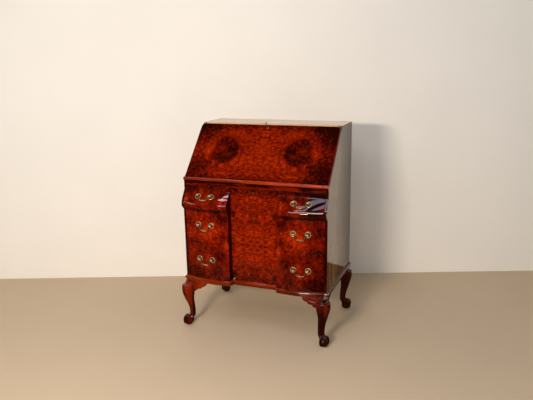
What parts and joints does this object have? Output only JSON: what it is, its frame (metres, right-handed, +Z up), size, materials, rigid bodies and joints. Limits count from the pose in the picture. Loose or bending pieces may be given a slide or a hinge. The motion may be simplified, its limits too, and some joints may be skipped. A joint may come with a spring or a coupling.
{
  "type": "writing bureau",
  "caption": "Slant-front walnut writing bureau with blocked, bowed drawers, an ogee-bulged top drawer, brass bail handles and cabriole ball-and-claw legs.",
  "frame": {"origin": "on the floor, at the middle of the box round the whole bureau, which is midway between the four feet", "axes": "+Z up, +Y towards the back panel, +X towards the right-hand side as seen by someone who sits at the bureau; the drawers face -Y"},
  "size_m": [0.764, 0.5062, 1.0139],
  "materials": {
    "burr_walnut": "polished burr veneer, high gloss",
    "moulded_walnut": "polished, high gloss",
    "figured_walnut": "polished figured veneer, gloss",
    "plain_wood": "waxed, satin",
    "aged_brass": "aged, softly polished",
    "dark_steel": "darkened by handling"
  },
  "bodies": {
    "carcass": {"side_left": "figured_walnut", "side_right": "figured_walnut", "top_board": "figured_walnut", "fall_rail": "figured_walnut", "back_panel": "plain_wood", "nosing": "moulded_walnut", "writing_board": "plain_wood", "frieze_rail": "burr_walnut", "loper_shelf": "plain_wood", "drawer_rail_upper": "plain_wood", "drawer_rail_lower": "plain_wood", "carcass_floor": "plain_wood", "base_moulding_front": "moulded_walnut", "base_moulding_left": "moulded_walnut", "base_moulding_right": "moulded_walnut", "base_rail_back": "plain_wood", "leg_front_left": "figured_walnut", "leg_front_right": "figured_walnut", "leg_back_left": "figured_walnut", "leg_back_right": "figured_walnut", "pigeonholes": "plain_wood"},
    "fall": {"fall": "burr_walnut", "fall_hinge_left": "aged_brass", "fall_hinge_right": "aged_brass", "fall_lock": "aged_brass"},
    "key": {"key": "dark_steel"},
    "lock_bolt": {"lock_bolt": "dark_steel"},
    "loper_left": {"loper_left": "burr_walnut"},
    "loper_right": {"loper_right": "burr_walnut"},
    "drawer_upper": {"drawer_front_upper": "burr_walnut", "drawer_box_upper": "plain_wood", "drawer_lock_upper": "aged_brass", "rose_upper_left_inner": "aged_brass", "rose_upper_left_outer": "aged_brass", "rose_upper_right_inner": "aged_brass", "rose_upper_right_outer": "aged_brass"},
    "bail_upper_left": {"bail_upper_left": "aged_brass"},
    "bail_upper_right": {"bail_upper_right": "aged_brass"},
    "drawer_middle": {"drawer_front_middle": "burr_walnut", "drawer_box_middle": "plain_wood", "drawer_lock_middle": "aged_brass", "rose_middle_left_inner": "aged_brass", "rose_middle_left_outer": "aged_brass", "rose_middle_right_inner": "aged_brass", "rose_middle_right_outer": "aged_brass"},
    "bail_middle_left": {"bail_middle_left": "aged_brass"},
    "bail_middle_right": {"bail_middle_right": "aged_brass"},
    "drawer_lower": {"drawer_front_lower": "burr_walnut", "drawer_box_lower": "plain_wood", "drawer_lock_lower": "aged_brass", "rose_lower_left_inner": "aged_brass", "rose_lower_left_outer": "aged_brass", "rose_lower_right_inner": "aged_brass", "rose_lower_right_outer": "aged_brass"},
    "bail_lower_left": {"bail_lower_left": "aged_brass"},
    "bail_lower_right": {"bail_lower_right": "aged_brass"},
    "small_drawer_left": {"small_drawer_left": "plain_wood", "small_knob_left": "aged_brass"},
    "small_drawer_right": {"small_drawer_right": "plain_wood", "small_knob_right": "aged_brass"}
  },
  "joints": [
    {"name": "fall_hinge", "type": "hinge", "parent": "carcass", "child": "fall", "pos_m": [0, -0.18985, 0.7506], "axis": [1, 0, 0], "range_deg": [0, 132]},
    {"name": "key_turn", "type": "hinge", "parent": "fall", "child": "key", "pos_m": [0, 0.01111, 0.98365], "axis": [0, -0.7431, 0.6691], "range_deg": [0, 90]},
    {"name": "lock_bolt_slide", "type": "slide", "parent": "fall", "child": "lock_bolt", "axis": [0, 0.7431, -0.6691], "range_m": [0, 0.008]},
    {"name": "loper_left_slide", "type": "slide", "parent": "carcass", "child": "loper_left", "axis": [0, -1, 0], "range_m": [0, 0.25]},
    {"name": "loper_right_slide", "type": "slide", "parent": "carcass", "child": "loper_right", "axis": [0, -1, 0], "range_m": [0, 0.25]},
    {"name": "drawer_upper_slide", "type": "slide", "parent": "carcass", "child": "drawer_upper", "axis": [0, -1, 0], "range_m": [0, 0.27]},
    {"name": "bail_upper_left_swing", "type": "hinge", "parent": "drawer_upper", "child": "bail_upper_left", "pos_m": [-0.24227, -0.22502, 0.68128], "axis": [-0.9994, 0.0335, 0], "range_deg": [0, 120]},
    {"name": "bail_upper_right_swing", "type": "hinge", "parent": "drawer_upper", "child": "bail_upper_right", "pos_m": [0.24227, -0.22502, 0.68128], "axis": [-0.9994, -0.0335, 0], "range_deg": [0, 120]},
    {"name": "drawer_middle_slide", "type": "slide", "parent": "carcass", "child": "drawer_middle", "axis": [0, -1, 0], "range_m": [0, 0.27]},
    {"name": "bail_middle_left_swing", "type": "hinge", "parent": "drawer_middle", "child": "bail_middle_left", "pos_m": [-0.24283, -0.23522, 0.5341], "axis": [-0.9976, 0.0687, 0], "range_deg": [0, 120]},
    {"name": "bail_middle_right_swing", "type": "hinge", "parent": "drawer_middle", "child": "bail_middle_right", "pos_m": [0.24283, -0.23522, 0.5341], "axis": [-0.9976, -0.0687, 0], "range_deg": [0, 120]},
    {"name": "drawer_lower_slide", "type": "slide", "parent": "carcass", "child": "drawer_lower", "axis": [0, -1, 0], "range_m": [0, 0.27]},
    {"name": "bail_lower_left_swing", "type": "hinge", "parent": "drawer_lower", "child": "bail_lower_left", "pos_m": [-0.24283, -0.23522, 0.3602], "axis": [-0.9976, 0.0687, 0], "range_deg": [0, 120]},
    {"name": "bail_lower_right_swing", "type": "hinge", "parent": "drawer_lower", "child": "bail_lower_right", "pos_m": [0.24283, -0.23522, 0.3602], "axis": [-0.9976, -0.0687, 0], "range_deg": [0, 120]},
    {"name": "small_drawer_left_slide", "type": "slide", "parent": "carcass", "child": "small_drawer_left", "axis": [0, -1, 0], "range_m": [0, 0.12]},
    {"name": "small_drawer_right_slide", "type": "slide", "parent": "carcass", "child": "small_drawer_right", "axis": [0, -1, 0], "range_m": [0, 0.12]}
  ],
  "couplings": [
    {"joint": "key_turn", "follows": "lock_bolt_slide", "rad_per_m": 196.34}
  ]
}
